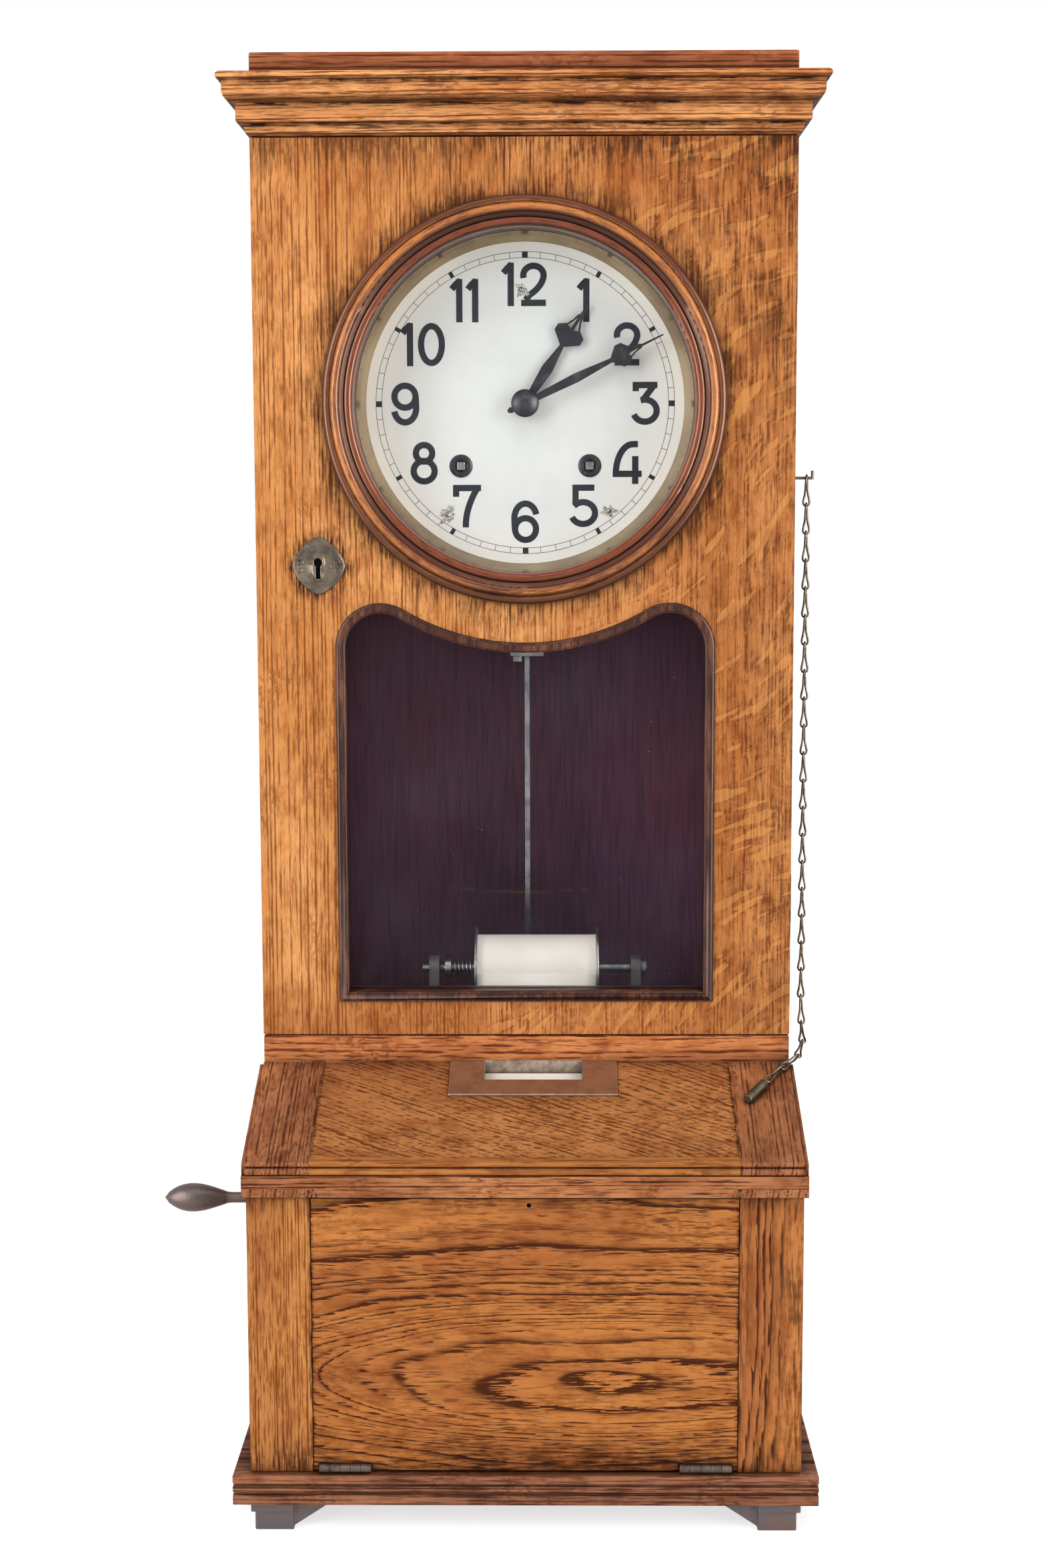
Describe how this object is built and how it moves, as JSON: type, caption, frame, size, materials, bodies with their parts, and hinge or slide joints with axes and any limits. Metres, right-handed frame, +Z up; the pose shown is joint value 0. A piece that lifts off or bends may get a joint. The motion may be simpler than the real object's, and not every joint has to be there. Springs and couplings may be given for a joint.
{
  "type": "time clock",
  "caption": "Oak-cased time recorder: dial and pendulum movement behind a glazed door, paper roll fed by a side lever, sloped writing desk with a slot, and a drop-front lower box.",
  "frame": {"origin": "on the floor, under the middle of the case's width and depth", "axes": "+Z up, the dial faces -Y, +X to the viewer's right"},
  "size_m": [0.4546, 0.3, 0.9628],
  "materials": {
    "oak": "old golden shellac",
    "oak_cleat": "dark worn shellac",
    "mahogany": "dark red-brown polish",
    "stained_board": "dark stain, matt",
    "foot_iron": "grey-black",
    "bronzed_plate": "worn copper bronze",
    "dark_iron": "worn black",
    "aged_brass": "tarnished",
    "movement_brass": "satin",
    "steel": "dull",
    "hand_black": "blackened",
    "dial_enamel": "white enamel",
    "paper": "matt",
    "glass": "clear",
    "chain_wire": "dark bronze"
  },
  "bodies": {
    "case": {"base_plate": "oak", "feet": "foot_iron", "left_side": "oak", "right_side": "oak", "back_panel": "stained_board", "top_board": "oak", "front_rails": "oak", "cornice": "oak", "desk_board": "oak", "desk_cleats": "oak_cleat", "desk_rail": "oak", "slot_plate": "bronzed_plate", "lower_stiles": "oak", "hinge_leaves": "dark_iron", "hinge_pins": "dark_iron", "dial_plate": "dial_enamel", "sight_ring": "aged_brass", "movement_plates": "movement_brass", "mainspring_barrels": "movement_brass", "movement_seat": "stained_board", "paper_web": "paper", "recorder_frame": "dark_iron", "frame_rods": "steel", "writing_bed": "steel", "roll_spindle": "steel", "spindle_spring": "steel", "lever_bush": "aged_brass", "return_spring": "steel", "chain_hook": "dark_iron"},
    "upper_door": {"door_panel": "oak", "dial_ring": "mahogany", "window_moulding": "mahogany", "door_glass": "glass", "escutcheon": "aged_brass", "lock_case": "aged_brass", "door_hinge_plates": "aged_brass"},
    "lock_bolt": {"lock_bolt": "aged_brass"},
    "fall_front": {"fall_front": "oak", "fall_hinge_plates": "dark_iron"},
    "lever": {"lever_shaft": "steel", "lever_handle": "dark_iron"},
    "take_up": {"take_up_spool": "steel"},
    "supply_roll": {"paper_roll": "paper", "roll_core": "aged_brass"},
    "minute": {"minute_hand": "hand_black", "cannon_pinion": "movement_brass"},
    "minute_wheel": {"minute_wheel": "movement_brass"},
    "hour": {"hour_hand": "hand_black", "hour_wheel": "movement_brass"},
    "escape": {"escape_wheel": "movement_brass"},
    "third": {"third_wheel": "movement_brass"},
    "center": {"center_wheel": "movement_brass"},
    "pendulum": {"pallet_anchor": "steel", "pendulum_rod": "steel", "pendulum_bob": "aged_brass"},
    "left_winding": {"left_arbor": "steel"},
    "right_winding": {"right_arbor": "steel"},
    "type_wheels": {"type_wheels": "steel"},
    "chain": {"pencil_chain": "chain_wire", "chain_ferrule": "aged_brass"}
  },
  "joints": [
    {"name": "upper_door_swing", "type": "hinge", "parent": "case", "child": "upper_door", "pos_m": [0.1802, -0.01275, 0.6079], "axis": [0, 0, 1], "range_deg": [0, 90]},
    {"name": "lock_bolt_slide", "type": "slide", "parent": "upper_door", "child": "lock_bolt", "axis": [-1, 0, 0], "range_m": [0, 0.005]},
    {"name": "fall_front_swing", "type": "hinge", "parent": "case", "child": "fall_front", "pos_m": [0, -0.145, 0.0437], "axis": [1, 0, 0], "range_deg": [0, 90]},
    {"name": "lever_turn", "type": "hinge", "parent": "case", "child": "lever", "pos_m": [-0.18, 0.055, 0.196], "axis": [1, 0, 0], "range_deg": [0, 35], "stiffness_Nm_per_rad": 0.4, "springref_deg": -28.65},
    {"name": "take_up_turn", "type": "hinge", "parent": "case", "child": "take_up", "pos_m": [0.007, 0.055, 0.196], "axis": [1, 0, 0], "range_deg": [0, 35]},
    {"name": "supply_roll_turn", "type": "hinge", "parent": "case", "child": "supply_roll", "pos_m": [0.007, 0.03, 0.3414], "axis": [1, 0, 0], "range_deg": [0, 27]},
    {"name": "minute_turn", "type": "hinge", "parent": "case", "child": "minute", "pos_m": [0, 0, 0.7364], "axis": [0, 1, 0], "continuous": true},
    {"name": "minute_wheel_turn", "type": "hinge", "parent": "case", "child": "minute_wheel", "pos_m": [0.02425, 0.02, 0.7364], "axis": [0, 1, 0], "continuous": true},
    {"name": "hour_turn", "type": "hinge", "parent": "case", "child": "hour", "pos_m": [0, 0.005, 0.7364], "axis": [0, 1, 0], "continuous": true},
    {"name": "escape_turn", "type": "hinge", "parent": "case", "child": "escape", "pos_m": [0, 0.05, 0.78901], "axis": [0, 1, 0], "continuous": true},
    {"name": "third_turn", "type": "hinge", "parent": "case", "child": "third", "pos_m": [0.01762, 0.05, 0.76693], "axis": [0, 1, 0], "continuous": true},
    {"name": "center_turn", "type": "hinge", "parent": "case", "child": "center", "pos_m": [0, 0.04, 0.7364], "axis": [0, 1, 0], "continuous": true},
    {"name": "pendulum_swing", "type": "hinge", "parent": "case", "child": "pendulum", "pos_m": [0, 0.092, 0.8119], "axis": [0, 1, 0], "range_deg": [-3, 3]},
    {"name": "left_winding_turn", "type": "hinge", "parent": "case", "child": "left_winding", "pos_m": [-0.044, 0.04, 0.6944], "axis": [0, 1, 0], "continuous": true},
    {"name": "right_winding_turn", "type": "hinge", "parent": "case", "child": "right_winding", "pos_m": [0.044, 0.04, 0.6944], "axis": [0, 1, 0], "continuous": true},
    {"name": "type_wheels_turn", "type": "hinge", "parent": "case", "child": "type_wheels", "pos_m": [0.005, -0.0104, 0.27183], "axis": [1, 0, 0], "continuous": true},
    {"name": "chain_swing", "type": "hinge", "parent": "case", "child": "chain", "pos_m": [0.192, 0.008, 0.68559], "axis": [1, 0, 0], "range_deg": [-50, 0]}
  ],
  "couplings": [
    {"joint": "take_up_turn", "follows": "lever_turn", "ratio": 1},
    {"joint": "supply_roll_turn", "follows": "lever_turn", "ratio": 0.76939},
    {"joint": "minute_wheel_turn", "follows": "minute_turn", "ratio": -0.33333},
    {"joint": "hour_turn", "follows": "minute_turn", "ratio": 0.083333},
    {"joint": "third_turn", "follows": "escape_turn", "ratio": -0.16667},
    {"joint": "center_turn", "follows": "escape_turn", "ratio": 0.027778}
  ]
}
